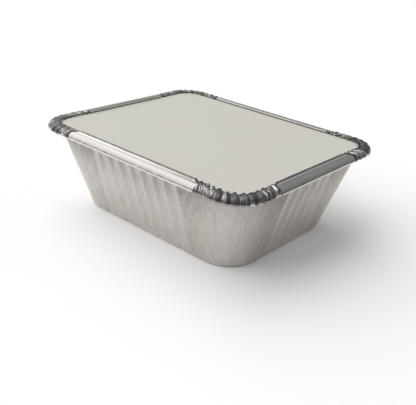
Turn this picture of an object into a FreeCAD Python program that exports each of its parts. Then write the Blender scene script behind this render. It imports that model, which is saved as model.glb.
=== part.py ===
import FreeCAD, Part
import Sketcher
import math
import os
from types import SimpleNamespace

from FreeCAD import Vector

# A takeaway tray pressed from one sheet of aluminium foil, closed by a flat board lid.
# The tray's rim is folded inward over the lid's edge: smooth flaps along the four
# straight sides, and crimped pleats round the four corners.
#
# The origin is the middle of the underside, +Z is up, +X runs along the long sides.

# Driving dimensions: name, value and what it is, in millimetres unless the note says otherwise
SIZES = (
    ("rim_length", 145.0, "overall length over the rim"),
    ("rim_width", 120.0, "overall width over the rim"),
    ("rim_radius", 17.0, "corner radius of the rim's outermost line"),
    ("ledge_height", 45.0, "top face of the ledge that carries the lid"),
    ("ledge_width", 3.6, "wall top to the rim's outermost line, along the straight sides"),
    ("wall_top_radius", 22.8, "corner radius at the top of the walls"),
    ("base_length", 112.2, "length of the base, where the lines of the walls meet the table"),
    ("base_width", 85.8, "width of the base, where the lines of the walls meet the table"),
    ("base_radius", 17.0, "corner radius of the base"),
    ("foil_gauge", 0.3, "thickness of the foil"),
    ("foot_radius", 1.6, "outer radius of the bend between the base and the walls"),
    ("foot_width", 5.0, "ring of the base that stands on the table"),
    ("panel_rise", 0.8, "how far the middle of the base is pressed up"),
    ("flute_pitch", 7.9, "spacing of the flutes along a wall"),
    ("flute_ridge", 2.8, "width of a flute's flat ridge"),
    ("flute_flank", 1.2, "width of each sloping side of a flute"),
    ("flute_depth", 0.7, "ridge to trough at the top of the wall"),
    ("flute_margin", 5.0, "least plain stretch between the flutes and a corner of the base"),
    ("wrinkle_pitch", 3.9, "spacing of the wrinkles round the top of a wall corner"),
    ("wrinkle_depth", 0.35, "height of those wrinkles at their top"),
    ("relief_at_foot", 0.4, "share of the walls' relief that is left at the foot bend"),
    ("bead_radius", 0.75, "radius of the bead that hangs from the outer edge of the ledge"),
    ("bead_drop", 1.5, "how far the bead hangs below the underside of the ledge"),
    ("crease_angle", 40.0, "degrees above level at which the bead meets the folded flap"),
    ("flap_width", 6.9, "rim's outermost line to the inner edge of the folded flap"),
    ("flap_crown", 0.9, "height of a smooth flap's outer shoulder above the lid"),
    ("flap_spring", 0.85, "how far the inner edge of a smooth flap has sprung up from the lid"),
    ("shoulder_width", 3.2, "rim's outermost line to where the flap's shoulder ends"),
    ("hem_width", 1.2, "width of the hem turned over along the flap's inner edge"),
    ("hem_rise", 0.2, "how far the hem stands up from the flap"),
    ("crimp_run", 12.0, "crimped length at each end of a straight side"),
    ("pleat_pitch", 4.2, "spacing of the crimped pleats round the rim's corners"),
    ("pleat_drop", 0.1, "how much lower than a smooth flap's shoulder a pleat's valley lies"),
    ("pleat_rise", 0.85, "height of a pleat's ridge above its valleys"),
    ("pleat_pinch", 0.5, "how far a valley draws the rim's outer line in"),
    ("pleat_reach", 1.2, "how much further in a ridge reaches than a valley"),
    ("pleat_unevenness", 0.25, "share by which the ridges differ from each other"),
    ("lid_thickness", 0.6, "thickness of the lid board"),
    ("lid_inset", 1.75, "rim's outermost line to the edge of the lid board"),
    ("flap_clearance", 0.05, "gap between the lid and the hem where a valley presses it down"),
)

# Directions of the four sides in order round the tray: front, right, back, left
SIDES = (Vector(1, 0, 0), Vector(0, 1, 0), Vector(-1, 0, 0), Vector(0, -1, 0))
UP = Vector(0, 0, 1)
# Radians from one ridge to the next in the wave that makes the pleats uneven
UNEVEN_STEP = 2.4
# Flat facets that make up each round stretch of the folded foil
FOOT_FACETS = 3
BEAD_FACETS = 6
FLAP_FACETS = 6
# Four points this close to one plane, in millimetres, make one flat facet
FLATNESS = 1e-6


class Station:
    """One place round the tray, on a side or on the corner that follows it.

    A place on a side has its distance from the side's middle in along. A place on a
    corner has the share of the corner that is behind it in turn. The height of the
    fold line that runs through the place is in relief.
    """

    def __init__(self, side, along=0.0, turn=None, relief=0.0):
        self.side = side
        self.along = along
        self.turn = turn
        self.relief = relief


class Outline:
    """A rounded rectangle, centred on the tray's upright axis."""

    def __init__(self, length, width, radius):
        self.length = length
        self.width = width
        self.radius = radius

    def inset(self, distance):
        return Outline(self.length - 2 * distance, self.width - 2 * distance, self.radius - distance)

    def toward(self, other, share):
        """The outline part of the way to another one."""
        return Outline(
            self.length + (other.length - self.length) * share,
            self.width + (other.width - self.width) * share,
            self.radius + (other.radius - self.radius) * share,
        )

    def straight_half(self, side):
        """Half of the straight stretch of a side."""
        along = self.width if side % 2 else self.length
        return along / 2 - self.radius

    def corner_arc(self):
        """Length of the arc round one corner."""
        return self.radius * math.pi / 2

    def frame(self, station):
        """The outline's point at a station, and the level direction that faces outward there."""
        forward = SIDES[station.side]
        outward = forward.cross(UP)
        across = self.length if station.side % 2 else self.width
        if station.turn is None:
            return forward * station.along + outward * (across / 2), outward
        centre = forward * self.straight_half(station.side) + outward * (across / 2 - self.radius)
        angle = station.turn * math.pi / 2
        facing = outward * math.cos(angle) + forward * math.sin(angle)
        return centre + facing * self.radius, facing

    def point(self, station, height, outset=0.0):
        """The point at a station, at a height, moved outward by outset."""
        start, outward = self.frame(station)
        return start + outward * outset + UP * height

    def strokes(self, height=0.0):
        """The four straight stretches, each followed by its corner's arc, at a height."""
        strokes = []
        for side in range(4):
            half = self.straight_half(side)
            start = self.point(Station(side, along=-half), height)
            end = self.point(Station(side, along=half), height)
            halfway = self.point(Station(side, turn=0.5), height)
            after = self.point(Station(side, turn=1.0), height)
            strokes.append(Part.LineSegment(start, end))
            strokes.append(Part.Arc(end, halfway, after))
        return strokes

    def wire(self, height):
        return Part.Wire([stroke.toShape() for stroke in self.strokes(height)])


# Small geometry helpers

def along_curve(poles, steps):
    """Points of a smooth curve from the first pole to the last, drawn toward those between."""
    spline = Part.BSplineCurve()
    spline.buildFromPoles(poles, False, 3)
    return [spline.value(step / steps) for step in range(steps + 1)]


def along_arc(start, middle, end, steps):
    """Points of the arc through three points."""
    arc = Part.Arc(start, middle, end)
    span = arc.LastParameter - arc.FirstParameter
    return [arc.value(arc.FirstParameter + span * step / steps) for step in range(steps + 1)]


def bend(before, corner, after, radius):
    """Start, middle and end of the arc that rounds the corner between two straight runs."""
    back = (before - corner).normalize()
    ahead = (after - corner).normalize()
    half_angle = back.getAngle(ahead) / 2
    run = radius / math.tan(half_angle)
    depth = radius / math.sin(half_angle) - radius
    return corner + back * run, corner + (back + ahead).normalize() * depth, corner + ahead * run


def facets(first, second, third, fourth):
    """One flat face through four points in order round it, or two where they don't lie flat."""
    normal = (third - first).cross(fourth - second).normalize()
    if abs((second - first).dot(normal)) < FLATNESS:
        return [Part.Face(polygon([first, second, third, fourth]))]
    return [Part.Face(polygon([first, second, third])), Part.Face(polygon([first, third, fourth]))]


def foil_between(ribs):
    """The foil between neighbouring fold lines, all the way round."""
    faces = []
    for rib, following in zip(ribs, ribs[1:] + ribs[:1]):
        for step in range(len(rib) - 1):
            faces += facets(rib[step], rib[step + 1], following[step + 1], following[step])
    return faces


def polygon(points):
    return Part.makePolygon(points + points[:1])


def level_ring(outer_wire, inner_wire):
    """The level face between two closed wires."""
    return Part.Face([outer_wire, inner_wire], "Part::FaceMakerBullseye")


# The walls and the base of the tray

def flute_stations(size, base, side):
    """Fold lines of the flutes on one side: up, along and down each flat ridge."""
    room = 2 * (base.straight_half(side) - size.flute_margin)
    count = max(1, math.floor(room / size.flute_pitch))
    half_ridge = size.flute_ridge / 2
    half_foot = half_ridge + size.flute_flank
    half_depth = size.flute_depth / 2
    stations = []
    for number in range(count):
        middle = (number - (count - 1) / 2) * size.flute_pitch
        stations.append(Station(side, along=middle - half_foot, relief=-half_depth))
        stations.append(Station(side, along=middle - half_ridge, relief=half_depth))
        stations.append(Station(side, along=middle + half_ridge, relief=half_depth))
        stations.append(Station(side, along=middle + half_foot, relief=-half_depth))
    return stations


def corner_stations(size, wall_top, side):
    """Fold lines of the wrinkles round the wall corner after a side, plain at both ends."""
    steps = 2 * max(1, round(wall_top.corner_arc() / size.wrinkle_pitch))
    return [
        Station(side, turn=step / steps, relief=size.wrinkle_depth * (step % 2))
        for step in range(steps + 1)
    ]


def wall_ribs(size, stations, bottom, top, floor, ceiling, radius):
    """Fold lines of one face of the walls, each from the floor, round the foot bend and up."""
    ribs = []
    for station in stations:
        inside = bottom.inset(size.foot_width).point(station, floor)
        corner = bottom.point(station, floor, station.relief * size.relief_at_foot)
        upper_end = top.point(station, ceiling, station.relief)
        round_foot = along_arc(*bend(inside, corner, upper_end, radius), FOOT_FACETS)
        ribs.append(round_foot + [upper_end])
    return ribs


def base_faces(size, base, ribs, floor):
    """One face of the base: the ring that stands, the step and the raised panel."""
    ring_edge = base.inset(size.foot_width)
    panel_edge = ring_edge.inset(size.panel_rise)
    step_low = ring_edge.wire(floor)
    step_high = panel_edge.wire(floor + size.panel_rise)
    foot_line = polygon([rib[0] for rib in ribs])
    step = Part.makeLoft([step_low, step_high], False, True)
    return [level_ring(foot_line, step_low), Part.Face(step_high)] + step.Faces


# The rim of the tray

def rim_outline(size):
    """The rim's outermost line, seen from above."""
    return Outline(size.rim_length, size.rim_width, size.rim_radius)


def rim_stations(size, rim):
    """Fold lines round the rim: the ends of each smooth flap, then the pleats of the corner.

    The relief of a smooth flap's end is None, of a valley 0, and of a ridge about 1.
    """
    stations = []
    run_in = size.crimp_run
    arc = rim.corner_arc()
    path = 2 * run_in + arc
    steps = 2 * max(1, round(path / size.pleat_pitch))
    for side in range(4):
        following = (side + 1) % 4
        flat_end = rim.straight_half(side) - run_in
        stations.append(Station(side, along=-flat_end, relief=None))
        stations.append(Station(side, along=flat_end, relief=None))
        for step in range(1, steps):
            gone = path * step / steps
            uneven = 1 + size.pleat_unevenness * math.sin(UNEVEN_STEP * len(stations))
            relief = uneven * (step % 2)
            if gone < run_in:
                stations.append(Station(side, along=flat_end + gone, relief=relief))
            elif gone < run_in + arc:
                stations.append(Station(side, turn=(gone - run_in) / arc, relief=relief))
            else:
                along = gone - run_in - arc - rim.straight_half(following)
                stations.append(Station(following, along=along, relief=relief))
    return stations


def rim_rib(size, rim, station):
    """The fold line across the rim at a station.

    It runs from the underside of the ledge round the outside of the bead, over the flap
    to its hem, and back along the other face of the foil to the top of the ledge.
    """
    smooth = station.relief is None
    relief = station.relief or 0.0
    pinch = 0.0 if smooth or relief else size.pleat_pinch
    reach = 0.0 if smooth else size.pleat_reach * (0.5 if relief else -0.5)
    rise = relief * size.pleat_rise
    drop = 0.0 if smooth else size.pleat_drop
    spring = size.flap_spring if smooth else 0.0
    origin, outward = rim.frame(station)

    def place(inset, height):
        return origin - outward * (pinch + inset) + UP * height

    gauge = size.foil_gauge
    ledge_under = size.ledge_height - gauge
    bead = size.bead_radius
    bead_centre = ledge_under - size.bead_drop + bead
    crease = math.radians(size.crease_angle)
    lid_top = size.ledge_height + size.lid_thickness
    crown = lid_top + size.flap_crown - drop + rise
    hem_end = size.flap_width + reach - pinch
    hem_start = hem_end - size.hem_width
    hem_under = lid_top + size.flap_clearance + spring + rise
    flap_under = hem_under + size.flap_clearance
    flap_over = flap_under + gauge

    def around_bead(radius, angle):
        return place(bead - radius * math.cos(angle), bead_centre + radius * math.sin(angle))

    def along_bead(radius):
        """The bead from its inner side, round the bottom, to the crease under the flap."""
        ends = around_bead(radius, math.pi), around_bead(radius, crease)
        return along_arc(ends[0], around_bead(radius, -math.pi / 2), ends[1], BEAD_FACETS)

    def along_flap(depth, end_height):
        """The flap from the crease to its hem, at a depth under its outer face."""
        return along_curve([
            around_bead(bead - depth, crease),
            place(depth, (bead_centre + crown) / 2),
            place(depth, crown - depth),
            place(size.shoulder_width, crown - depth),
            place(hem_start, end_height),
        ], FLAP_FACETS)

    outside = [place(2 * bead, ledge_under)] + along_bead(bead)
    outside += along_flap(0.0, flap_over)[1:]
    outside.append(place(hem_start, flap_over + size.hem_rise))
    outside.append(place(hem_end, hem_under + gauge + size.hem_rise))
    inside = [place(2 * bead - gauge, size.ledge_height)] + along_bead(bead - gauge)
    inside += along_flap(gauge, flap_under)[1:]
    inside.append(place(hem_end, hem_under))
    return outside + inside[::-1]


# The sub-parts

def add_foil_tray(doc, size):
    """The tray: one sheet of foil, closed into a solid from both of its faces."""
    gauge = size.foil_gauge
    ledge_under = size.ledge_height - gauge
    rim = rim_outline(size)
    base = Outline(size.base_length, size.base_width, size.base_radius)
    wall_top = rim.inset(size.ledge_width)
    wall_top.radius = size.wall_top_radius
    inner_base = base.toward(wall_top, gauge / ledge_under).inset(gauge)
    inner_top = base.toward(wall_top, size.ledge_height / ledge_under).inset(gauge)

    wall_stations = []
    for side in range(4):
        wall_stations += flute_stations(size, base, side) + corner_stations(size, wall_top, side)
    outer_wall = wall_ribs(size, wall_stations, base, wall_top, 0.0, ledge_under, size.foot_radius)
    inner_wall = wall_ribs(
        size, wall_stations, inner_base, inner_top, gauge, size.ledge_height, size.foot_radius - gauge
    )
    rim_ribs = [rim_rib(size, rim, station) for station in rim_stations(size, rim)]

    faces = foil_between(outer_wall) + foil_between(inner_wall) + foil_between(rim_ribs)
    faces += base_faces(size, base, outer_wall, 0.0)
    faces += base_faces(size, base, inner_wall, gauge)
    for wall, rim_end in ((outer_wall, 0), (inner_wall, -1)):
        rim_line = polygon([rib[rim_end] for rib in rim_ribs])
        faces.append(level_ring(rim_line, polygon([rib[-1] for rib in wall])))

    shell = Part.makeShell(faces)
    shell.sewShape()
    solid = Part.makeSolid(shell)
    if solid.Volume < 0:
        solid.reverse()
    tray = doc.addObject("Part::Feature", "FoilTray")
    tray.Label = "foil_tray"
    tray.Shape = solid
    tray.Placement = FreeCAD.Placement()
    return tray


def add_board_lid(doc, size):
    """The lid: a flat board with rounded corners, lying on the ledge under the folded rim."""
    body = doc.addObject("PartDesign::Body", "BoardLid")
    body.Label = "board_lid"
    plane = next(feature for feature in body.Origin.OriginFeatures if feature.Role == "XY_Plane")
    sketch = body.newObject("Sketcher::SketchObject", "LidOutline")
    sketch.AttachmentSupport = [(plane, "")]
    sketch.MapMode = "FlatFace"
    draw_lid_outline(sketch, rim_outline(size).inset(size.lid_inset))
    pad = body.newObject("PartDesign::Pad", "LidBoard")
    pad.Profile = sketch
    pad.setExpression("Length", "Sizes.lid_thickness")
    body.setExpression("Placement.Base.z", "Sizes.ledge_height")
    return body


def draw_lid_outline(sketch, outline):
    """A rounded rectangle about the origin, bound to the rim's sizes and the lid's inset."""
    for stroke in outline.strokes():
        sketch.addGeometry(stroke, False)
    for edge in range(8):
        sketch.addConstraint(Sketcher.Constraint("Tangent", edge, 2, (edge + 1) % 8, 1))
    for front_or_back in (0, 4):
        sketch.addConstraint(Sketcher.Constraint("Horizontal", front_or_back))
        sketch.addConstraint(Sketcher.Constraint("Vertical", front_or_back + 2))
    for corner in (3, 5, 7):
        sketch.addConstraint(Sketcher.Constraint("Equal", 1, corner))
    sketch.addConstraint(Sketcher.Constraint("Symmetric", 1, 3, 5, 3, -1, 1))
    bind(sketch, "lid_length", "Sizes.rim_length - 2 * Sizes.lid_inset",
         Sketcher.Constraint("DistanceX", 6, 1, 2, 1, outline.length))
    bind(sketch, "lid_width", "Sizes.rim_width - 2 * Sizes.lid_inset",
         Sketcher.Constraint("DistanceY", 0, 1, 4, 1, outline.width))
    bind(sketch, "lid_radius", "Sizes.rim_radius - Sizes.lid_inset",
         Sketcher.Constraint("Radius", 1, outline.radius))


def bind(sketch, name, formula, constraint):
    """Add a named dimension whose value is worked out from the sheet."""
    sketch.renameConstraint(sketch.addConstraint(constraint), name)
    sketch.setExpression(f"Constraints.{name}", formula)


# The document

def add_sheet(doc):
    """The spreadsheet of driving dimensions, one alias for each."""
    sheet = doc.addObject("Spreadsheet::Sheet", "Sizes")
    for row, (name, value, note) in enumerate(SIZES, start=1):
        sheet.set(f"A{row}", name)
        sheet.set(f"B{row}", str(value))
        sheet.set(f"C{row}", note)
        sheet.setAlias(f"B{row}", name)
    doc.recompute()
    return sheet


def check(doc, parts):
    """Stop before anything is written if an object failed or a sub-part isn't sound."""
    for item in doc.Objects:
        if "Invalid" in item.State or "Error" in item.State:
            raise RuntimeError(f"{item.Label} did not compute: {item.State}")
    for part in parts:
        if part.Shape.isNull() or not part.Shape.isValid():
            raise RuntimeError(f"{part.Label} has no sound shape")


def main():
    doc = FreeCAD.newDocument("FoilContainer")
    sheet = add_sheet(doc)
    size = SimpleNamespace(**{name: sheet.get(name) for name, _, _ in SIZES})
    parts = [add_foil_tray(doc, size), add_board_lid(doc, size)]
    doc.recompute()
    check(doc, parts)
    os.makedirs("parts", exist_ok=True)
    for part in parts:
        part.Shape.exportStep(f"parts/{part.Label}.step")


main()
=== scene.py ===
"""Foil takeaway container with a flat board lid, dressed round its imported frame.

The tray is one sheet of foil. Python lays it out as a plain blank, line by line: from the
middle of the base, up the walls, over the rim and back along the other face. A node tree
then presses the flutes, the crimped pleats and the creases into the blank.
"""
import logging
import math
from dataclasses import astuple, dataclass, field, replace
from enum import Enum
from functools import partial, reduce
from itertools import accumulate

import bpy
import numpy as np
from bpy.types import ID, Material, Mesh, Node, NodeSocket, NodeTree, Object
from mathutils import Matrix, Vector


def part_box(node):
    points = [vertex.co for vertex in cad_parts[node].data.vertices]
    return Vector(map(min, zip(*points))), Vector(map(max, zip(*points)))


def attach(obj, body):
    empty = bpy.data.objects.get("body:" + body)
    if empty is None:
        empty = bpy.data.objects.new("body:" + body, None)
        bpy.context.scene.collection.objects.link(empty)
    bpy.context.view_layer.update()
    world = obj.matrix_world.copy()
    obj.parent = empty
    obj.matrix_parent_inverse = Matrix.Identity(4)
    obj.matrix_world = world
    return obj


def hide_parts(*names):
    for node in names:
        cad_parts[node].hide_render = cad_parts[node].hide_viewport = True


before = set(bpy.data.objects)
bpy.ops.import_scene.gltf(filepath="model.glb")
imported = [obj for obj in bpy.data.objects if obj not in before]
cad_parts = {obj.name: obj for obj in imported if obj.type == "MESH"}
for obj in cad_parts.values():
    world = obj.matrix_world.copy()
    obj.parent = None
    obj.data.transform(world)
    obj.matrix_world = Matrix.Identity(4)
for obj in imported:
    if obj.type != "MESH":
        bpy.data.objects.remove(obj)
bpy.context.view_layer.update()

Pair = tuple[float, float]
Triple = tuple[float, float, float]
Row = tuple[float, ...]
Colour = tuple[float, float, float, float]
Entries = dict[str | int, object]

MM = 0.001
SIDE_STRIDE = 100.0  # from one side's pleat numbers to the next side's
LOG = logging.getLogger("foil_container")


class Slot(Enum):
    """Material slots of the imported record."""

    FOIL = "foil"
    BOARD = "lid_board"


class Mark(Enum):
    """Names of the mesh attributes that the node tree and the foil's finish read."""

    OUTWARD = "outward"
    AHEAD = "ahead"
    SKIN = "skin"
    ALONG = "along"
    ACROSS = "across"
    FLUTE_RUN = "flute_run"
    FLUTE = "flute"
    WALL = "wall"
    CORNER = "corner"
    PLAIN = "plain"
    PLEAT_RUN = "pleat_run"
    PLEAT = "pleat"
    LIFT = "lift"
    DROP = "drop"
    PINCH = "pinch"
    # painted shade and painted highlights of each line of the rim
    REACH = "reach"
    LINE = "line"
    RIM = "rim"
    # tone carries painted highlights and painted shade as well as random tone
    TONE = "tone"


def placed(name: str, data: ID) -> Object:
    """Puts a new object into the scene.

    Args:
        name: The object's name.
        data: Its mesh, light or camera.

    Returns:
        The object.
    """
    thing = bpy.data.objects.new(name, data)
    bpy.context.scene.collection.objects.link(thing)
    return thing


# The tray's outlines


@dataclass(frozen=True)
class Outline:
    """A rounded rectangle centred on the upright axis."""

    half_length: float
    half_width: float
    radius: float

    def inset(self, distance: float) -> "Outline":
        """The outline moved inward all round."""
        return Outline(*(np.array(astuple(self)) - distance))

    def toward(self, other: "Outline", share: float) -> "Outline":
        """The outline part of the way to another one."""
        mine, theirs = np.array(astuple(self)), np.array(astuple(other))
        return Outline(*(mine + (theirs - mine) * share))

    def straight_half(self, side: int) -> float:
        """Half of the straight stretch of a side."""
        return (self.half_width if side % 2 else self.half_length) - self.radius

    def reach(self, side: int) -> float:
        """Distance from the axis to a side."""
        return self.half_length if side % 2 else self.half_width


@dataclass(frozen=True)
class Columns:
    """Places round the tray: on the middle stretch of a side, or in the region of a corner.

    The middle stretch of a side ends at ends[side] on every outline. A corner's region
    runs from there to the middle stretch of the next side, and share says how much of it
    is behind the place.
    """

    side: np.ndarray
    corner: np.ndarray
    along: np.ndarray
    share: np.ndarray
    pleat_run: np.ndarray
    ends: Row

    def trace(self, outline: Outline) -> tuple[np.ndarray, np.ndarray]:
        """Points of an outline at these places, and the level directions that face outward.

        Args:
            outline: The outline to follow.

        Returns:
            Points and outward directions, with one row of x and y for each place.
        """
        points, facing = np.zeros((2, len(self.side), 2))
        arc = outline.radius * math.pi / 2
        for side in range(4):
            angle = side * math.pi / 2
            forward = np.array([math.cos(angle), math.sin(angle)])
            outward = np.array([forward[1], -forward[0]])
            middle = (self.side == side) & ~self.corner
            points[middle] = self.along[middle, None] * forward + outline.reach(side) * outward
            facing[middle] = outward
            at = (self.side == side) & self.corner
            run_in = outline.straight_half(side) - self.ends[side]
            run_out = outline.straight_half((side + 1) % 4) - self.ends[(side + 1) % 4]
            gone = self.share[at] * (run_in + arc + run_out)
            turn = np.clip((gone - run_in) / arc, 0.0, 1.0) * math.pi / 2
            facing[at] = np.cos(turn)[:, None] * outward + np.sin(turn)[:, None] * forward
            centre = outline.straight_half(side) * forward + (outline.reach(side) - outline.radius) * outward
            before = np.minimum(gone - run_in, 0.0)
            after = np.maximum(gone - run_in - arc, 0.0)
            points[at] = centre + outline.radius * facing[at]
            points[at] += before[:, None] * forward - after[:, None] * outward
        return points, facing


@dataclass
class Line:
    """One line of the blank round the tray, with its shares of what is pressed into it."""

    points: np.ndarray
    height: float
    across: float = 0.0
    wall: float = 0.0
    lift: float = 0.0
    drop: float = 0.0
    pinch: float = 0.0
    reach: float = 0.0
    # painted shade of the line, or a painted highlight below 0
    line: float = 0.0
    rim: float = 0.0


# Node trees


class Field:
    """A value in a node tree. Numbers are combined with plain arithmetic."""

    def __init__(self, tree: NodeTree, socket: NodeSocket | None) -> None:
        """Wraps an output socket of the tree."""
        self.tree = tree
        self.socket = socket

    @classmethod
    def of(cls, tree: NodeTree, kind: str, entries: Entries,
           result: str = "", **settings: object) -> "Field":
        """Adds a node and takes its result.

        Args:
            tree: The node tree.
            kind: Type of the node.
            entries: What each input takes, by name or number: a field or a plain value.
            result: Name of the output. Without one it is the first output in use.
            settings: The node's own settings.

        Returns:
            The result.
        """
        node = tree.nodes.new(kind)
        for name, value in settings.items():
            setattr(node, name, value)
        for key, value in entries.items():
            entry = node.inputs[key] if isinstance(key, int) else next(
                each for each in node.inputs if each.enabled and each.name == key)
            if isinstance(value, Field):
                tree.links.new(value.socket, entry)
            else:
                entry.default_value = value
        outputs = [out for out in node.outputs if out.enabled and result in ("", out.name)]
        return cls(tree, outputs[0] if outputs else None)

    def math(self, operation: str, *values: "Field | float") -> "Field":
        """The result of a Math node on values, in the order of its inputs."""
        return Field.of(self.tree, "ShaderNodeMath", dict(enumerate(values)), operation=operation)

    def __add__(self, other: "Field | float") -> "Field":
        """Sum."""
        return self.math("ADD", self, other)

    def __sub__(self, other: "Field | float") -> "Field":
        """Difference."""
        return self.math("SUBTRACT", self, other)

    def __rsub__(self, other: float) -> "Field":
        """Difference from a plain number."""
        return self.math("SUBTRACT", other, self)

    def __mul__(self, other: "Field | float") -> "Field":
        """Product."""
        return self.math("MULTIPLY", self, other)

    def __truediv__(self, other: "Field | float") -> "Field":
        """Quotient."""
        return self.math("DIVIDE", self, other)

    def floor(self) -> "Field":
        """The whole number below."""
        return self.math("FLOOR", self)

    def part(self) -> "Field":
        """What is left above the whole number below."""
        return self.math("FRACT", self)

    def size(self) -> "Field":
        """The value without its sign."""
        return self.math("ABSOLUTE", self)

    def power(self, exponent: float) -> "Field":
        """The value raised to a power."""
        return self.math("POWER", self, exponent)

    def at_least(self, low: float) -> "Field":
        """The value, or low where it is less."""
        return self.math("MAXIMUM", self, low)

    def clamped(self) -> "Field":
        """The value kept between 0 and 1."""
        return self.math("MINIMUM", self, 1.0).at_least(0.0)

    def toward(self, other: "Field", share: "Field") -> "Field":
        """The value part of the way to another."""
        return self + share * (other - self)

    def eased(self, low: float, high: float) -> "Field":
        """A smooth climb from 0 at low to 1 at high."""
        entries = {"Value": self, "From Min": low, "From Max": high}
        return Field.of(self.tree, "ShaderNodeMapRange", entries, interpolation_type="SMOOTHSTEP")


@dataclass(frozen=True)
class Waves:
    """A noise over two measures: cells to the unit of each, octaves added, and seed."""

    along: float
    across: float
    detail: float
    seed: float


class ReliefTree:
    """A geometry node tree that presses relief into a blank of foil."""

    def __init__(self, name: str) -> None:
        """Makes the empty tree with its geometry entries.

        Args:
            name: The tree's name.
        """
        self.tree = bpy.data.node_groups.new(name, "GeometryNodeTree")
        self.entries: dict[str, float] = {}
        for end, label in (("INPUT", "Blank"), ("OUTPUT", "Pressed")):
            self.tree.interface.new_socket(name=label, in_out=end, socket_type="NodeSocketGeometry")
        self.start = self.tree.nodes.new("NodeGroupInput")
        self.node = partial(Field.of, self.tree)

    def size(self, name: str, value: float) -> Field:
        """A named input of the tree.

        Args:
            name: What the input is called.
            value: What the modifier sets it to. A whole number makes a whole-number input.

        Returns:
            The input's value.
        """
        kind = "NodeSocketInt" if isinstance(value, int) else "NodeSocketFloat"
        item = self.tree.interface.new_socket(name=name, in_out="INPUT", socket_type=kind)
        self.entries[item.identifier] = value
        return Field(self.tree, self.start.outputs[name])

    def sizes(self, owner: object, *names: str) -> list[Field]:
        """Inputs of the tree, each with the name and the value of one of the owner's fields."""
        return [self.size(name.replace("_", " ").capitalize(), getattr(owner, name)) for name in names]

    def read(self, mark: Mark, kind: str = "FLOAT") -> Field:
        """A number that the blank carries, or with the kind FLOAT_VECTOR a direction."""
        return self.node("GeometryNodeInputNamedAttribute", {"Name": mark.value}, "Attribute", data_type=kind)

    def along(self, mark: Mark, distance: Field) -> Field:
        """A direction that the blank carries, times a distance."""
        entries = {0: self.read(mark, "FLOAT_VECTOR"), "Scale": distance}
        return self.node("ShaderNodeVectorMath", entries, operation="SCALE")

    def vector(self, *numbers: Field | float) -> Field:
        """A vector made of up to three numbers, x first."""
        return self.node("ShaderNodeCombineXYZ", dict(enumerate(numbers)))

    def added(self, first: Field, second: Field) -> Field:
        """The sum of two vectors."""
        return self.node("ShaderNodeVectorMath", {0: first, 1: second}, operation="ADD")

    def noise(self, waves: Waves, along: Field, across: Field | float = 0.0,
              shift: Field | None = None) -> Field:
        """Smooth noise from about -1 to 1.

        Args:
            waves: Rates, octaves and seed of the noise.
            along: First measure.
            across: Second measure.
            shift: Cells added to the first measure's.

        Returns:
            The noise.
        """
        cells = along * waves.along
        place = self.vector(cells + shift if shift else cells, across * waves.across)
        entries = {"Vector": place, "W": waves.seed, "Scale": 1.0, "Detail": waves.detail}
        return (self.node("ShaderNodeTexNoise", entries, noise_dimensions="4D") - 0.5) * 2.0

    def chance(self, number: Field, ends: Pair, seed: Field) -> Field:
        """A random number between two ends that depends on a whole number and the seed."""
        entries = {"Min": ends[0], "Max": ends[1], "ID": number, "Seed": seed}
        return self.node("FunctionNodeRandomValue", entries, data_type="FLOAT")

    def finish(self, offset: Field, tone: Field, material: Material) -> None:
        """Moves the blank's points, stores the tone of each, and closes the tree.

        Args:
            offset: How far each point moves.
            tone: How far the foil is painted lighter or darker there: painted highlights, painted shade and
                random tone.
            material: Material of the result.
        """
        shape = Field(self.tree, self.start.outputs["Blank"])
        entries = {"Geometry": shape, "Name": Mark.TONE.value, "Value": tone}
        shape = self.node("GeometryNodeStoreNamedAttribute", entries, data_type="FLOAT", domain="POINT")
        shape = self.node("GeometryNodeSetPosition", {"Geometry": shape, "Offset": offset})
        shape = self.node("GeometryNodeRealizeInstances", {"Geometry": shape})
        shape = self.node("GeometryNodeSetMaterial", {"Geometry": shape, "Material": material})
        self.node("NodeGroupOutput", {"Pressed": shape})

    def press(self, blank: Object) -> Mesh:
        """Runs the tree on a blank.

        Args:
            blank: Object that holds the blank. It is removed.

        Returns:
            The pressed mesh, with no modifier behind it.
        """
        modifier = blank.modifiers.new("relief", "NODES")
        modifier.node_group = self.tree
        for identifier, value in self.entries.items():
            modifier[identifier] = value
        bpy.context.view_layer.update()
        graph = bpy.context.evaluated_depsgraph_get()
        pressed = bpy.data.meshes.new_from_object(blank.evaluated_get(graph))
        bpy.data.objects.remove(blank)
        return pressed


# Finishes


def new_material(name: str, values: dict[str, object]) -> tuple[Material, Node]:
    """Makes a material.

    Args:
        name: The material's name.
        values: Plain values of the shader's inputs.

    Returns:
        The material and its shader.
    """
    material = bpy.data.materials.new(name)
    material.use_nodes = True
    shader = material.node_tree.nodes["Principled BSDF"]
    for entry, value in values.items():
        shader.inputs[entry].default_value = value
    return material, shader


@dataclass(frozen=True)
class Texture:
    """A noise on Object coordinates: cells to the metre, octaves added, and stretch of each axis."""

    scale: float
    detail: float
    stretch: Triple


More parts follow.
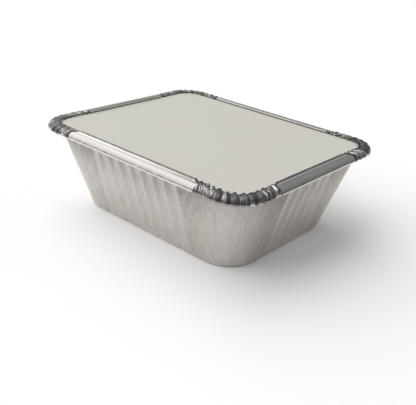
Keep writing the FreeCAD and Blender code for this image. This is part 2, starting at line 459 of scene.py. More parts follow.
class Finish:
    """Shared steps of the procedural materials."""

    def _noise(self, tree: NodeTree, texture: Texture) -> Field:
        """Noise on Object coordinates, from 0 to 1.

        Args:
            tree: The material's tree.
            texture: The noise's scale, octaves and stretch.

        Returns:
            The noise.
        """
        place = Field.of(tree, "ShaderNodeTexCoord", {}, "Object")
        place = Field.of(tree, "ShaderNodeMapping", {"Vector": place, "Scale": texture.stretch})
        entries = {"Vector": place, "Scale": texture.scale, "Detail": texture.detail}
        return Field.of(tree, "ShaderNodeTexNoise", entries)

    def _attribute(self, tree: NodeTree, mark: Mark) -> Field:
        """A number that the mesh carries."""
        return Field.of(tree, "ShaderNodeAttribute", {}, "Fac", attribute_name=mark.value)

    def _blend(self, share: Field, first: object, second: object) -> Field:
        """Two colours mixed, each a field or plain numbers, by the share of the second."""
        entries = {"Factor": share, "A": first, "B": second}
        return Field.of(share.tree, "ShaderNodeMix", entries, data_type="RGBA")

    def _feed(self, shader: Node, entry: str, value: Field) -> None:
        """Links a value to an input of the shader."""
        value.tree.links.new(value.socket, shader.inputs[entry])

    def _bump(self, shader: Node, height: Field, depth: float) -> None:
        """Puts a bump on the shader, with its height from 0 to 1 and its depth in metres."""
        entries = {"Height": height, "Distance": depth}
        self._feed(shader, "Normal", Field.of(height.tree, "ShaderNodeBump", entries))


@dataclass(frozen=True)
class FoilFinish(Finish):
    """Rolled aluminium foil: satin walls, a brighter flap, and painted shade that darkens the crushed folds.
    """

    sheet: Colour = (0.575, 0.548, 0.512, 1.0)
    # painted shade: the colour that tones below 0.5 mix in, for the crimped folds, the troughs and the rim's
    # painted shade lines
    crushed: Colour = (0.060, 0.051, 0.056, 1.0)
    # painted highlight: the colour that tones above 0.5 mix in, for painted glints, sheen and the rim's light
    # lines
    bright: Colour = (0.93, 0.92, 0.91, 1.0)
    flap: Colour = (0.43, 0.415, 0.402, 1.0)
    wall_roughness: float = 0.42
    rim_roughness: float = 0.24
    rolled: Texture = Texture(260.0, 4.0, (0.12, 0.12, 1.0))
    rolled_roughness: float = 0.10
    drawn: Texture = Texture(520.0, 3.0, (1.0, 1.0, 0.09))
    drawn_tone: float = 0.16
    mottle: Texture = Texture(480.0, 2.0, (1.0, 1.0, 0.7))
    mottle_tone: float = 0.20
    grain: Texture = Texture(900.0, 3.0, (1.0, 1.0, 0.5))
    grain_depth: float = 0.02 * MM

    def make(self) -> Material:
        """Makes the foil's material.

        Returns:
            The finished material.
        """
        material, shader = new_material("rolled_foil", {"Metallic": 1.0})
        tree = material.node_tree
        rim = self._attribute(tree, Mark.RIM)
        drift = (self._noise(tree, self.drawn) - 0.5) * self.drawn_tone
        drift = drift + (self._noise(tree, self.mottle) - 0.5) * self.mottle_tone
        tone = self._attribute(tree, Mark.TONE) + drift * (1.0 - rim)
        # below 0.5 the tone mixes in the crushed colour as painted shade; above 0.5 it mixes in the highlight
        # colour as painted highlights
        darker = self._blend(tone * 2.0, self.crushed, self._blend(rim, self.sheet, self.flap))
        self._feed(shader, "Base Color", self._blend(tone * 2.0 - 1.0, darker, self.bright))
        flat = rim * (1.0 - self._attribute(tree, Mark.PLEAT))
        roughness = flat * (self.rim_roughness - self.wall_roughness) + self.wall_roughness
        roughness = roughness + (self._noise(tree, self.rolled) - 0.5) * self.rolled_roughness
        self._feed(shader, "Roughness", roughness)
        self._bump(shader, self._noise(tree, self.grain), self.grain_depth)
        return material


@dataclass(frozen=True)
class BoardFinish(Finish):
    """Smooth pale grey-white board with faint fibres."""

    face: Colour = (0.590, 0.602, 0.528, 1.0)
    cloud: Colour = (0.574, 0.538, 0.490, 1.0)
    roughness: float = 0.62
    clouds: Texture = Texture(16.0, 2.0, (1.0, 1.3, 1.0))
    cloud_share: float = 0.7
    fibres: Texture = Texture(1400.0, 3.0, (0.35, 1.0, 1.0))
    fibre_depth: float = 0.01 * MM

    def make(self) -> Material:
        """Makes the board's material.

        Returns:
            The finished material.
        """
        material, shader = new_material(Slot.BOARD.value, {"Roughness": self.roughness})
        tree = material.node_tree
        fibres = self._noise(tree, self.fibres)
        share = self._noise(tree, self.clouds) * self.cloud_share + fibres * (1.0 - self.cloud_share)
        self._feed(shader, "Base Color", self._blend(share, self.face, self.cloud))
        self._bump(shader, fibres, self.fibre_depth)
        return material


# The foil tray


@dataclass(frozen=True)
class RimSection:
    """Section of the rim: the bead, the flap folded over the lid, and the flap's hem.

    The hem has lines at some insets from its start, each sunk a little under its top, and
    lines round its edge at some angles in degrees.
    """

    ledge_under: float
    lid_top: float
    bead_radius: float = 0.75 * MM
    bead_drop: float = 1.5 * MM
    crease_angle: float = math.radians(40.0)
    flap_width: float = 6.9 * MM
    face_inset: float = 0.45 * MM
    crown_inset: float = 1.1 * MM
    flap_crown: float = 0.82 * MM
    flap_spring: float = 0.85 * MM
    flap_lap: float = 0.15 * MM
    shoulder_width: float = 3.3 * MM
    pleat_drop: float = 0.1 * MM
    hem_width: float = 1.2 * MM
    hem_rise: float = 0.2 * MM
    hem_clearance: float = 0.06 * MM
    hem_round: float = 0.16 * MM
    hem_curl: float = 0.4 * MM
    hem_insets: Row = (0.12 * MM, 0.35 * MM, 0.64 * MM, 1.04 * MM)
    hem_sinks: Row = (0.04 * MM, 0.0, 0.0, 0.03 * MM)
    hem_turns: Row = (60.0, 25.0, -15.0, -60.0)
    hem_end: float = 0.1 * MM
    turn_in: float = 0.5 * MM

    def lines(self, depth: float, bead_steps: int, flap_steps: int) -> list[Row]:
        """The bead and the flap at a depth under the outer face.

        Args:
            depth: Depth under the outer face.
            bead_steps: Steps round the bead.
            flap_steps: Steps along the flap.

        Returns:
            Inset, height, share of lift, drop, and shares of pinch and reach of each line.
        """
        bead = self.bead_radius
        centre = self.ledge_under - self.bead_drop + bead
        section = [(2 * bead - depth, centre + self.turn_in, 0.0, 0.0, 1.0, 0.0)]
        radius = bead - depth
        section += [(bead + radius * math.cos(turn), centre + radius * math.sin(turn), 0.0, 0.0, 1.0, 0.0)
                    for turn in np.linspace(0.0, -math.pi - self.crease_angle, bead_steps + 1)]
        crown = self.lid_top + self.flap_crown
        over = self.lid_top + self.hem_clearance + self.flap_spring + self.hem_rise + self.flap_lap
        drop = self.pleat_drop
        poles = np.array([
            section[-1],
            (self.face_inset + depth, (centre + crown) / 2, 0.5, drop / 2, 1.0, 0.0),
            (self.crown_inset + depth, crown - depth, 1.0, drop, 1.0, 0.0),
            (self.shoulder_width, crown + drop - depth, 1.0, drop, 1.0, 0.0),
            (self.flap_width - self.hem_width, over - depth * 0.5, 1.0, self.flap_spring, 0.0, 1.0),
        ])
        return section + [self._curve(poles, step / flap_steps) for step in range(1, flap_steps + 1)]

    def hem(self, foil: float) -> list[Triple]:
        """The lines over the hem and round its edge.

        Args:
            foil: Thickness of one layer of foil.

        Returns:
            Inset, height and drop of the lines from the flap's top to the hem's underside.
        """
        under = self.lid_top + self.hem_clearance + self.flap_spring - self.hem_curl
        top = under + self.hem_curl + self.hem_rise + 2 * foil
        half = (top - under) / 2
        start = self.flap_width - self.hem_width
        edge = self.flap_width - self.hem_round
        lines = [(start + inset, top - sink) for inset, sink in zip(self.hem_insets, self.hem_sinks)]
        lines += [(edge + self.hem_round * math.cos(turn), under + half + half * math.sin(turn))
                  for turn in map(math.radians, self.hem_turns)]
        lines.append((edge - self.hem_end, under))
        curl = self.hem_curl / (top - under)
        return [(inset, height, self.flap_spring - (top - height) * curl) for inset, height in lines]

    @staticmethod
    def _curve(poles: np.ndarray, share: float) -> Row:
        """A point of the clamped cubic curve over five poles, which is two Bezier arcs.

        Args:
            poles: The poles, one in each row.
            share: How far along the curve, from 0 to 1.

        Returns:
            The point, with as many numbers as a pole has.
        """
        before, after = (poles[1] + poles[2]) / 2, (poles[2] + poles[3]) / 2
        middle = (before + after) / 2
        second = share >= 0.5
        arc = (middle, after, poles[3], poles[4]) if second else (poles[0], poles[1], before, middle)
        gone = share * 2 - second
        weights = [math.comb(3, n) * gone ** n * (1 - gone) ** (3 - n) for n in range(4)]
        return tuple(np.array(weights) @ np.array(arc))


@dataclass
class FoilTray:
    """The tray: base, fluted walls, ledge, bead and folded rim of one sheet of foil.

    A painted shade above 0 darkens a line, and one below 0 brightens it as a painted highlight.
    """

    node: str = "foil_tray"
    lid_node: str = "board_lid"
    piece: str = "pressed_foil_tray"
    foil: float = 0.15 * MM
    cad_gauge: float = 0.3 * MM
    rim: Outline = Outline(72.5 * MM, 60.0 * MM, 17.0 * MM)
    ledge_width: float = 3.6 * MM
    ledge_gap: float = 0.3 * MM
    wall_top_radius: float = 22.8 * MM
    base: Outline = Outline(56.1 * MM, 42.9 * MM, 17.0 * MM)
    foot_radius: float = 1.6 * MM
    foot_width: float = 5.0 * MM
    panel_rise: float = 0.8 * MM
    panel_round: float = 0.2 * MM
    wall_bend: float = 0.9 * MM
    bend_outs: Pair = (0.10 * MM, 0.75 * MM)
    bend_drops: Pair = (0.35 * MM, 0.05 * MM)
    bend_reliefs: Pair = (0.95, 0.6)
    flute_pitch: float = 7.9 * MM
    flute_ridge: float = 2.8 * MM
    flute_flank: float = 1.2 * MM
    flute_counts: tuple[int, int] = (8, 5)
    relief_at_foot: float = 0.4
    crease_stretch: float = 0.42
    crimp_run: float = 12.0 * MM
    crimp_round: float = 0.35 * MM
    pleat_steps: int = 24
    columns_in_step: int = 6
    smooth_step: float = 0.7 * MM
    outer_steps: tuple[int, ...] = (4, 24, 9, 14)
    inner_steps: tuple[int, ...] = (1, 4, 4, 5)
    tongue: float = 2.0 * MM
    tongue_inset: float = 2.4 * MM
    tongue_spread: float = 2.6 * MM
    tongue_shares: Row = (1.0, 0.3, 0.3, 0.3)
    rise_shares: Row = (1.0, 0.8, 0.55, 0.6)
    bead_rim: float = 0.15
    # painted light on the bead, painted shade along the fold above it, and painted shade and painted
    # highlights across the flap and the hem
    bead_shade: float = -0.6
    fold_shade: float = 1.2
    flap_insets: Row = (0.25, 0.45, 0.6, 0.9, 1.4, 3.4, 4.0, 4.4, 5.15, 5.6)
    flap_shades: Row = (0.9, 0.4, 0.3, 0.2, 0.0, -0.05, 0.25, -0.5, -0.7, 0.6)
    hem_shades: Row = (1.0, 1.2, 1.2, 1.2, -0.3, -0.9, -0.9, -0.9, 0.0)
    lines: list[Line] = field(default_factory=list)

    def __post_init__(self) -> None:
        """Takes the heights from the frame and works out the outlines."""
        lid_low, lid_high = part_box(self.lid_node)
        self.ledge_under = lid_low.z - self.cad_gauge
        self.section = RimSection(self.ledge_under, lid_high.z)
        self.wall_top = replace(self.rim.inset(self.ledge_width), radius=self.wall_top_radius)
        self.crimped = 2 * self.crimp_run + self.rim.radius * math.pi / 2
        self.columns = self._columns()

    def _flute_places(self, count: int) -> list[float]:
        """Places along the fluted stretch of a side, with one on every fold of a flute.

        Args:
            count: Number of flutes on the side.

        Returns:
            Distances from the side's middle, without the stretch's end.
        """
        gap = self.flute_pitch - self.flute_ridge - 2 * self.flute_flank
        widths = [gap / 4] * 2 + [self.flute_flank / 3] * 3 + [self.flute_ridge / 4] * 4
        widths += [self.flute_flank / 3] * 3 + [gap / 4] * 2
        return list(accumulate(widths * count, initial=-count * self.flute_pitch / 2))[:-1]

    def _columns(self) -> Columns:
        """Lays out the places round the tray.

        Returns:
            The places, with one on every fold line of the walls and of the pleats.
        """
        halves = [count * self.flute_pitch / 2 for count in self.flute_counts] * 2
        crimped, inner = self.crimped, self.pleat_steps * self.columns_in_step
        rows: list[tuple] = []
        for side in range(4):
            flutes = self._flute_places(self.flute_counts[side % 2])
            rows += [(side, False, along, 0.0, 0.0) for along in flutes]
            ends = [self.rim.straight_half(at) - self.crimp_run - halves[at] for at in (side, (side + 1) % 4)]
            total = ends[0] + crimped + ends[1]
            first, last = (round(end / self.smooth_step) for end in ends)
            gone = [ends[0] * n / first for n in range(first)]
            gone += [ends[0] + crimped * n / inner for n in range(inner)]
            gone += [ends[0] + crimped + ends[1] * n / last for n in range(last)]
            rows += [(side, True, 0.0, g / total, (g - ends[0]) / crimped * self.pleat_steps) for g in gone]
        side, corner, along, share, run = (np.array(values) for values in zip(*rows))
        return Columns(side, corner, along, share, run, tuple(halves))

    def _line(self, outline: Outline, height: float, **shares: float) -> Line:
        """A line of the blank that follows an outline."""
        return Line(self.columns.trace(outline)[0], height, **shares)

    def _wall_outline(self, height: float, depth: float) -> Outline:
        """The outline of the walls at a height, at a depth inside the outer face."""
        return self.base.toward(self.wall_top, height / self.ledge_under).inset(depth)

    def _face(self, depth: float, ledge_depth: float, steps: tuple[int, ...]) -> list[Line]:
        """Lines of one face of the sheet, from the base's middle to the flap's end.

        Args:
            depth: Depth inside the outer face.
            ledge_depth: The same for the ledge.
            steps: Steps round the foot, up the wall, round the bead and along the flap.

        Returns:
            The lines.
        """
        foot, wall, bead, flap = steps
        lines = self._floor(depth) + self._foot(depth, foot) + self._wall(depth, wall)
        return lines + self._ledge(ledge_depth) + self._rim(depth, bead, flap)

    def _floor(self, depth: float) -> list[Line]:
        """Lines of the base: the raised panel, its step, and the ring that stands.

        Args:
            depth: Depth inside the outer face.

        Returns:
            The lines, from the middle outward.
        """
        ring, rise, soft = self.base.inset(self.foot_width), self.panel_rise, self.panel_round
        places = ((rise + soft, rise), (rise - soft, rise - 2 * soft), (-soft, 0.0))
        return [self._line(ring.inset(inset), height + depth) for inset, height in places]

    def _foot(self, depth: float, steps: int) -> list[Line]:
        """Lines round the bend between the base and the walls.

        Args:
            depth: Depth inside the outer face.
            steps: Steps round the bend.

        Returns:
            The lines, from the base outward.
        """
        lean = math.atan((self.wall_top.half_width - self.base.half_width) / self.ledge_under)
        radius = self.foot_radius - depth
        run = radius * math.tan((math.pi / 2 - lean) / 2)
        base = self._wall_outline(depth, depth)
        turns = [(math.pi / 2 - lean) * step / steps for step in range(steps + 1)]
        return [self._line(base.inset(run - radius * math.sin(turn)), depth + radius * (1 - math.cos(turn)),
                           wall=self.relief_at_foot * step / steps) for step, turn in enumerate(turns)]

    def _wall(self, depth: float, steps: int) -> list[Line]:
        """Lines up the walls to the bend under the ledge.

        Args:
            depth: Depth inside the outer face.
            steps: Steps up the walls.

        Returns:
            The lines, from the bottom up.
        """
        low, high = self.foot_radius, self.ledge_under - self.wall_bend
        heights = [low + (high - low) * step / steps for step in range(1, steps + 1)]
        shares = [self.relief_at_foot + (1 - self.relief_at_foot) * at / self.ledge_under for at in heights]
        return [self._line(self._wall_outline(height, depth), height, wall=share)
                for height, share in zip(heights, shares)]

    def _ledge(self, depth: float) -> list[Line]:
        """Lines of the bend at the wall's top and of the ledge.

        Args:
            depth: Depth inside the outer face.

        Returns:
            The lines, from the wall outward.
        """
        height = self.ledge_under + depth
        top = self.columns.trace(self._wall_outline(height, depth))[0]
        edge = self.section.bead_radius * 2 + self.ledge_gap
        way = self.columns.trace(self.rim.inset(edge))[0] - top
        reach = np.linalg.norm(way, axis=1)[:, None]
        bend = zip(self.bend_outs, self.bend_drops, self.bend_reliefs)
        lines = [Line(top + way / reach * out, height - drop, wall=wall) for out, drop, wall in bend]
        return lines + [Line(top + way, height)]

    def _rim(self, depth: float, bead_steps: int, flap_steps: int) -> list[Line]:
        """Lines of the bead and the flap.

        Args:
            depth: Depth under the outer face.
            bead_steps: Steps round the bead.
            flap_steps: Steps along the flap.

        Returns:
            The lines, from the ledge to the hem.
        """
        lines = []
        section = self.section.lines(depth, bead_steps, flap_steps)
        for number, (inset, height, lift, drop, pinch, reach) in enumerate(section, -bead_steps - 1):
            # the bead takes painted light, the fold above it painted shade, and the flap its painted shades
            # by inset
            rim, shade = self.bead_rim, self.bead_shade if number < 0 else self.fold_shade
            if number > 0:
                rim, shade = 1.0, np.interp(inset / MM, self.flap_insets, self.flap_shades)
            lines.append(self._line(self.rim.inset(inset), height, across=inset, lift=lift, drop=drop,
                                    pinch=pinch, reach=reach, rim=rim, line=shade))
        return lines

    def _hem(self) -> list[Line]:
        """Lays out the hem.

        Returns:
            The lines over the hem and round its edge.
        """
        return [self._line(self.rim.inset(inset), height, across=inset, lift=1.0, reach=1.0,
                           drop=drop, rim=1.0, line=shade)
                for (inset, height, drop), shade in zip(self.section.hem(self.foil), self.hem_shades)]

    def build(self, finish: FoilFinish) -> Object:
        """Makes the tray's piece.

        Args:
            finish: The foil's finish.

        Returns:
            The finished object.
        """
        outside = self._face(0.0, 0.0, self.outer_steps) + self._hem()
        self.lines = outside + self._face(self.foil, self.cad_gauge, self.inner_steps)[::-1]
        blank = placed("foil_blank", self._mesh(len(outside)))
        relief = TrayRelief(self)
        pressed = relief.press(blank, finish.make())
        pressed.name = self.piece
        pressed.set_sharp_from_angle(angle=relief.sharp_angle)
        piece = placed(self.piece, pressed)
        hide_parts(self.node)
        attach(piece, "root")
        return piece

    def _mesh(self, turned: int) -> Mesh:
        """The blank as a closed mesh with the marks that the node tree reads.

        Args:
            turned: Number of the line from which the inner face is laid out.

        Returns:
            The mesh.
        """
        grid = np.array([np.insert(line.points, 2, line.height, axis=1) for line in self.lines])
        count, width = grid.shape[:2]
        index = np.arange(count * width).reshape(count, width)
        following = np.roll(index, -1, axis=1)
        quads = np.stack([index[:-1], following[:-1], following[1:], index[1:]], axis=-1).reshape(-1, 4)
        faces = quads.tolist() + [index[0][::-1].tolist(), index[-1].tolist()]
        mesh = bpy.data.meshes.new("foil_blank")
        mesh.from_pydata(grid.reshape(-1, 3).tolist(), [], faces)
        mesh.shade_smooth()
        skin = np.cross(np.roll(grid, -1, axis=1) - np.roll(grid, 1, axis=1), np.gradient(grid, axis=0))
        skin /= np.maximum(np.linalg.norm(skin, axis=2, keepdims=True), 1e-12)
        skin[turned:] *= -1
        outward = np.column_stack([self.columns.trace(self.rim)[1], np.zeros(width)])
        ahead = np.column_stack([-outward[:, 1], outward[:, 0], np.zeros(width)])
        ways = {Mark.SKIN: skin, Mark.OUTWARD: outward, Mark.AHEAD: ahead}
        kinds = (("FLOAT_VECTOR", "vector", (count, width, 3), ways),
                 ("FLOAT", "value", (count, width), self._marks()))
        for kind, entry, shape, values in kinds:
            for mark, value in values.items():
                attribute = mesh.attributes.new(mark.value, kind, "POINT")
                full = np.broadcast_to(value, shape).astype(np.float32)
                attribute.data.foreach_set(entry, full.reshape(-1))
        return mesh

    def _marks(self) -> dict[Mark, np.ndarray]:
        """Works out the numbers that the blank carries.

        Returns:
            Each mark's numbers, as a grid or as a row or column that spreads to it.
        """
        places = self.columns
        marks = {mark: np.array([getattr(line, mark.value) for line in self.lines])[:, None] for mark in (
            Mark.ACROSS, Mark.WALL, Mark.LIFT, Mark.DROP, Mark.PINCH, Mark.REACH, Mark.LINE, Mark.RIM)}
        parity = np.array([self.flute_counts[side % 2] % 2 for side in places.side])
        bulge = (1 - ((marks[Mark.ACROSS] - self.tongue_inset) / self.tongue_spread) ** 2) * self.tongue
        bulge = bulge * np.array(self.tongue_shares)[places.side]
        gone = np.minimum(places.pleat_run, self.pleat_steps - places.pleat_run)
        gone = gone * (self.crimped / self.pleat_steps)
        crimped = np.clip((gone - bulge) / self.crimp_round, 0.0, 1.0) * places.corner
        crimped = crimped * (marks[Mark.PINCH] + marks[Mark.REACH] > 0)
        rise = 1 - (1 - np.array(self.rise_shares)[places.side]) * crimped
        gaps = np.linalg.norm(np.diff(places.trace(self.rim)[0], axis=0), axis=1)
        corner = np.sin(places.share * math.pi) * places.corner
        near = np.clip(1 - np.minimum(places.share, 1 - places.share) / self.crease_stretch, 0.0, 1.0)
        return marks | {
            Mark.ALONG: np.concatenate([[0.0], np.cumsum(gaps)]),
            Mark.FLUTE_RUN: places.along / self.flute_pitch + parity / 2,
            Mark.FLUTE: marks[Mark.WALL] * ~places.corner,
            Mark.CORNER: marks[Mark.WALL] * corner ** 2,
            Mark.PLAIN: marks[Mark.WALL] * near * places.corner,
            Mark.PLEAT_RUN: places.pleat_run + SIDE_STRIDE * places.side,
            Mark.PLEAT: crimped,
            Mark.LIFT: marks[Mark.LIFT] * rise,
        }


@dataclass(frozen=True)
class Tones:
    """How far each feature brightens or darkens the foil, where 0.5 is the plain sheet; most are painted
    highlights and painted shade, facet and streak are random tone.
    """

    sheet: float = 0.5
    # painted highlights on the flutes' ridge edges and near their upper ends, painted shade in their troughs
    # near the top
    ridge_edge: float = 0.22
    tip: float = 0.08
    trough: float = 0.07
    # painted shade darkening the walls towards the top, and painted light at their foot
    wall_top: float = 0.22
    wall_foot: float = 0.05
    # painted highlights along the wrinkles in the corners, and painted shade over the plain stretches with
    # creases
    wrinkle: float = 0.07
    creased: float = 1.8
    # painted shade of the rim's lines and along the fold across the middle of the flaps
    line: float = 0.5
    flap_crease: float = 0.08
    facet: float = 0.08
    # painted light on the crimps' outer face, painted glints on some of it, painted highlights along some
    # fold lines and painted sheen on a few folds
    face: float = 0.10
    lit_face: float = 0.45
    edge: float = 0.30
    shine: float = 0.45
    streak: float = 0.22
    # painted shade: the low tone that gives the crimps the crushed colour
    pleat: float = 0.04
    # painted glints near the ends of each crimp, and painted shade at its root beside the flap
    end: float = 1.1
    root: float = 0.3


@dataclass
class TrayRelief:
    """What is pressed into the tray's blank: flutes, wrinkles, creases and crimped pleats, and the painted
    highlights and painted shade of its tone.
    """

    tray: FoilTray
    tones: Tones = Tones()
    flute_depth: float = 0.7 * MM
    wrinkle_depth: float = 0.30 * MM
    crease_depth: float = 0.30 * MM
    dent_depth: float = 0.22 * MM
    pleat_rise: float = 0.85 * MM
    pleat_pinch: float = 0.5 * MM
    pleat_reach: float = 1.2 * MM
    pleat_lean: float = 0.9 * MM
    crush_depth: float = 0.16 * MM
    flap_wave: float = 0.10 * MM
    sharp_angle: float = math.radians(32.0)
    seed: int = 7
    top_heights: Pair = (20.0 * MM, 46.0 * MM)
    tip_heights: Pair = (36.0 * MM, 43.0 * MM)
    wander: Waves = Waves(40.0, 60.0, 0.0, 2.0)
    wander_share: float = 0.8
    wrinkles: Waves = Waves(300.0, 28.0, 2.0, 11.0)
    wrinkle_crowd: float = 2.2
    creases: Waves = Waves(230.0, 40.0, 1.0, 17.0)
    crease_lean: float = -150.0
    crease_crowd: float = 2.6
    dents: Waves = Waves(55.0, 45.0, 1.0, 21.0)
    dashes: Waves = Waves(260.0, 0.0, 1.0, 31.0)
    dash_share: float = 0.5
    drift: Waves = Waves(22.0, 0.0, 1.0, 43.0)
    drift_share: float = 0.3
    flap_crease: float = 0.45
    ripple: Waves = Waves(75.0, 1.5, 1.0, 41.0)
    streaks: Waves = Waves(3.1, 1.4, 2.0, 47.0)
    fold_slope: float = 2.1
    block_slope: float = 2.2
    skew_centre: float = 0.35
    ridge_rises: Pair = (0.75, 1.1)
    valley_rises: Pair = (0.15, 0.5)
    skews: Pair = (-1.0, 0.35)
    skew_shifts: Pair = (-0.45, 0.45)
    jags: Pair = (0.1, 0.8)
    jag_shifts: Pair = (-0.3, 0.3)
    zigzags: float = 1.5
    zigzag_leans: Pair = (-2.0, 2.0)
    crushes: Pair = (0.3, 1.6)
    pinches: Pair = (0.2, 1.6)

    def press(self, blank: Object, material: Material) -> Mesh:
        """Presses the relief into the blank.

        Args:
            blank: Object that holds the blank.
            material: The foil's material.

        Returns:
            The pressed mesh.
        """
        relief = ReliefTree("foil_relief")
        wall_offset, wall_tone = self._wall(relief)
        rim_offset, rim_tone = self._rim(relief)
        pleat = relief.read(Mark.PLEAT)
        along = relief.read(Mark.ALONG)
        # painted shade along the rim's lines, broken into dashes
        dashes = relief.noise(self.dashes, along) * self.dash_share + (1.0 - self.dash_share / 2)
        drift = relief.noise(self.drift, along) * self.drift_share
        across = relief.read(Mark.ACROSS) / self.tray.section.flap_width
        # painted shade along a fold across the middle of the flaps
        painted_crease_mask = (1.0 - (across - self.flap_crease - drift).size().eased(0.02, 0.12)) * relief.read(Mark.LIFT)
        painted_line_shade = relief.read(Mark.LINE) * dashes * self.tones.line + painted_crease_mask * self.tones.flap_crease
        tone = wall_tone.toward(rim_tone, pleat) - painted_line_shade * (1.0 - pleat * 0.6)
        relief.finish(relief.added(wall_offset, rim_offset), tone, material)
        return relief.press(blank)

    def _wall(self, relief: ReliefTree) -> tuple[Field, Field]:
        """Flutes, wrinkles, creases and dents of the walls.

        Args:
            relief: The tree that presses them.

        Returns:
            Offset of the foil, and its tone with painted highlights and painted shade.
        """
        tray, tones = self.tray, self.tones
        ridge_share = relief.size("Flute ridge share", tray.flute_ridge / tray.flute_pitch)
        foot = tray.flute_ridge + 2 * tray.flute_flank
        foot_share = relief.size("Flute foot share", foot / tray.flute_pitch)
        depth, wrinkle_depth, crease_depth, dent_depth = relief.sizes(
            self, "flute_depth", "wrinkle_depth", "crease_depth", "dent_depth")

        wall, fluted = relief.read(Mark.WALL), relief.read(Mark.FLUTE)
        corner, plain = relief.read(Mark.CORNER), relief.read(Mark.PLAIN)
        along = relief.read(Mark.ALONG)
        height = relief.node("ShaderNodeSeparateXYZ", {0: relief.node("GeometryNodeInputPosition", {})}, "Z")

        past = (relief.read(Mark.FLUTE_RUN).part() - 0.5).size() * 2.0 - ridge_share
        ridge = (1.0 - past.at_least(0.0) / (foot_share - ridge_share)).at_least(0.0)
        flute = (ridge - 0.5) * depth * fluted
        # painted highlights along the flutes' ridge edges, and the troughs that take painted shade
        ridge_edge = (1.0 - past.size().eased(0.01, 0.12)) * fluted
        trough = (1.0 - ridge) * fluted

        wander = relief.noise(self.wander, along, height) * self.wander_share
        upright = (relief.noise(self.wrinkles, along, height, wander) * self.wrinkle_crowd).size()
        wrinkles = (1.0 - upright) * wrinkle_depth * corner
        leaning = relief.noise(self.creases, along, height, height * self.crease_lean)
        leaning = (leaning * self.crease_crowd).size()
        creases = (1.0 - leaning) * crease_depth * plain
        dents = relief.noise(self.dents, along, height) * dent_depth * wall

        offset = relief.along(Mark.OUTWARD, flute + wrinkles + creases + dents)
        top = height.eased(*self.top_heights)
        # painted highlights on the ridges near the top of the walls
        painted_tips = ridge * height.eased(*self.tip_heights) * fluted
        # painted shade in the troughs near the top, and the walls painted darker towards the top and lighter
        # at the foot
        tone = (ridge_edge * tones.ridge_edge + painted_tips * tones.tip - trough * top * tones.trough
                - wall * (top * tones.wall_top - tones.wall_foot)) + tones.sheet
        # painted highlights along the wrinkles in the corners, and painted shade over the plain stretches
        # with creases
        creased = (1.0 - upright) * corner - (leaning + 0.5) * plain * tones.creased
        return offset, tone + creased * tones.wrinkle

    def _rim(self, relief: ReliefTree) -> tuple[Field, Field]:
        """Crimped pleats of the rim's corners, and the waves of its smooth flaps.

        Args:
            relief: The tree that presses them.

        Returns:
            Offset of the foil, and its tone with painted highlights and painted shade.
        """
        tones = self.tones
        rise, pinch, reach, lean, crush, wave, seed = relief.sizes(
            self, "pleat_rise", "pleat_pinch", "pleat_reach", "pleat_lean",
            "crush_depth", "flap_wave", "seed")
        run, rim, pleat = relief.read(Mark.PLEAT_RUN), relief.read(Mark.LIFT), relief.read(Mark.PLEAT)
        across = relief.read(Mark.ACROSS) / self.tray.section.flap_width
        number, share = run.floor(), run.part()

        def drawn(draw: int, at: Field = number, ends: Pair = (0.0, 1.0)) -> Field:
            """A random number for each whole number that it is read at."""
            return relief.chance(at, ends, seed + draw)

        def between(ends: Pair, draw: int) -> Field:
            """A random number on each fold line, even between them."""
            return drawn(draw, number, ends).toward(drawn(draw, number + 1.0, ends), share)

        odd = (number * 0.5).part() * 2.0
        fold = ((odd.toward(1.0 - odd, share) - 0.5) * self.fold_slope + 0.5).clamped()
        raised = fold * between(self.ridge_rises, 1) + (1.0 - fold) * between(self.valley_rises, 2)
        skew = (across - self.skew_centre) * between(self.skews, 3) * lean + between(self.skew_shifts, 4) * MM
        block = ((fold - 0.5) * self.block_slope + 0.5).clamped()
        jag = (block - 0.5) * reach * between(self.jags, 12) + between(self.jag_shifts, 5) * MM

        zigzag = run * self.zigzags + across * between(self.zigzag_leans, 6)
        zigzag = (zigzag.part() - 0.5).size() * 2.0
        crushed = (zigzag - 0.5) * crush * drawn(7, number, self.crushes)
        ripple = relief.noise(self.ripple, relief.read(Mark.ALONG), across) * wave * rim

        lifted = (raised * rise * rim - relief.read(Mark.DROP)) * pleat
        pinched = pinch * (1.0 - fold) * between(self.pinches, 13) * relief.read(Mark.PINCH)
        inward = (pinched + jag * relief.read(Mark.REACH)) * pleat
        offset = reduce(relief.added, (
            relief.vector(0.0, 0.0, lifted),
            relief.along(Mark.OUTWARD, inward * -1.0),
            relief.along(Mark.AHEAD, skew * pleat),
            relief.along(Mark.SKIN, crushed * rim * pleat + ripple * (1.0 - pleat)),
        ))

        # painted highlights along some fold lines, painted glints on the crimps' outer face and painted sheen
        # on a few folds
        at_line = (share - 0.5).size().eased(0.36, 0.47)
        edge = at_line * drawn(9, (run + 0.5).floor()).eased(0.5, 0.85) * (rim * 0.6 + 0.4)
        lit_face = drawn(11).eased(0.72, 0.8) * (1.0 - rim).power(3.0)
        shine = drawn(10).eased(0.90, 0.95) * tones.shine * zigzag.eased(0.4, 0.6) * rim
        streaks = relief.noise(self.streaks, run, across)
        # painted glints near the ends of each crimp, and painted shade at its root beside the flap
        end = ((run / SIDE_STRIDE).part() * SIDE_STRIDE / self.tray.pleat_steps - 0.5).size() * 2.0
        root = end.eased(0.88, 0.96)
        ends = end.eased(0.4, 0.65) - root
        # random tone of each facet, and the crimps' outer face painted lighter than their top
        tone = drawn(8).power(2.0) * tones.facet + (1.0 - rim) * tones.face
        tone = tone + lit_face * tones.lit_face + edge * tones.edge + shine
        # random streaks over the crimps' low tone, which is painted shade in the crushed colour
        marks = streaks * tones.streak + tones.pleat + streaks.eased(0.02, 0.2) * ends * tones.end
        return offset, tone + (marks - root * tones.root) * rim


# The lid


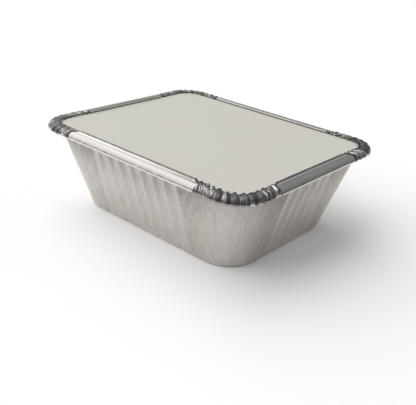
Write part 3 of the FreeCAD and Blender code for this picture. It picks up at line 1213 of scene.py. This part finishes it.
@dataclass
class BoardLid:
    """The flat board lid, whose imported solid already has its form."""

    node: str = "board_lid"

    def dress(self, finish: BoardFinish) -> Object:
        """Gives the lid its material.

        Args:
            finish: The board's finish.

        Returns:
            The lid's object.
        """
        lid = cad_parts[self.node]
        lid.data.materials.clear()
        lid.data.materials.append(finish.make())
        return lid


# The studio


@dataclass
class Studio:
    """Pale floor, soft light and the camera."""

    floor_half: float = 12.0
    floor_colour: Colour = (0.98, 0.98, 0.98, 1.0)
    world_grey: float = 0.46
    key_strength: float = 2.74
    key_angle: float = math.radians(98.0)
    key_from: Triple = (-0.72, -0.26, 0.65)
    lens: float = 53.48
    sensor: float = 36.0
    azimuth: float = math.radians(40.233)
    elevation: float = math.radians(25.081)
    roll: float = math.radians(4.0)
    distance: float = 348.705 * MM
    target: Triple = (2.995 * MM, 0.0, 5.477 * MM)
    clip: Pair = (0.01, 60.0)

    def build(self) -> None:
        """Makes the floor, the light and the camera."""
        self._floor()
        self._light()
        self._camera()

    def _floor(self) -> None:
        """The pale floor that the container stands on."""
        mesh = bpy.data.meshes.new("floor")
        half = self.floor_half
        corners = [(-half, -half, 0), (half, -half, 0), (half, half, 0), (-half, half, 0)]
        mesh.from_pydata(corners, [], [(0, 1, 2, 3)])
        floor = placed("floor", mesh)
        matt = {"Base Color": self.floor_colour, "Roughness": 1.0, "Specular IOR Level": 0.0}
        mesh.materials.append(new_material("pale_floor", matt)[0])

    def _light(self) -> None:
        """A plain grey world and one soft key light."""
        world = bpy.data.worlds.new("studio")
        world.use_nodes = True
        background = world.node_tree.nodes["Background"]
        background.inputs["Color"].default_value = (1.0, 1.0, 1.0, 1.0)
        background.inputs["Strength"].default_value = self.world_grey
        bpy.context.scene.world = world
        data = bpy.data.lights.new("key", "SUN")
        data.energy = self.key_strength
        data.angle = self.key_angle
        key = placed("key", data)
        key.rotation_mode = "QUATERNION"
        key.rotation_quaternion = Vector(self.key_from).to_track_quat("Z", "Y")

    def _camera(self) -> None:
        """The camera where the photograph was taken from."""
        turn = Matrix.Rotation(self.azimuth, 4, "Z") @ Matrix.Rotation(math.pi / 2 - self.elevation, 4, "X")
        turn = turn @ Matrix.Rotation(self.roll, 4, "Z")
        turn.translation = Vector(self.target) + turn.col[2].xyz * self.distance
        data = bpy.data.cameras.new("camera")
        data.lens = self.lens
        data.sensor_width = self.sensor
        data.clip_start, data.clip_end = self.clip
        camera = placed("camera", data)
        camera.matrix_world = turn
        bpy.context.scene.camera = camera
        bpy.context.scene.view_settings.view_transform = "Standard"


def main() -> None:
    """Builds the pieces in order and reports each one."""
    logging.basicConfig(level=logging.INFO, format="%(name)s: %(message)s")
    tray = FoilTray().build(FoilFinish())
    LOG.info("%s: %d faces", tray.name, len(tray.data.polygons))
    lid = BoardLid().dress(BoardFinish())
    LOG.info("%s: %d faces", lid.name, len(lid.data.polygons))
    Studio().build()
    LOG.info("studio ready")


if __name__ == "__main__":
    main()
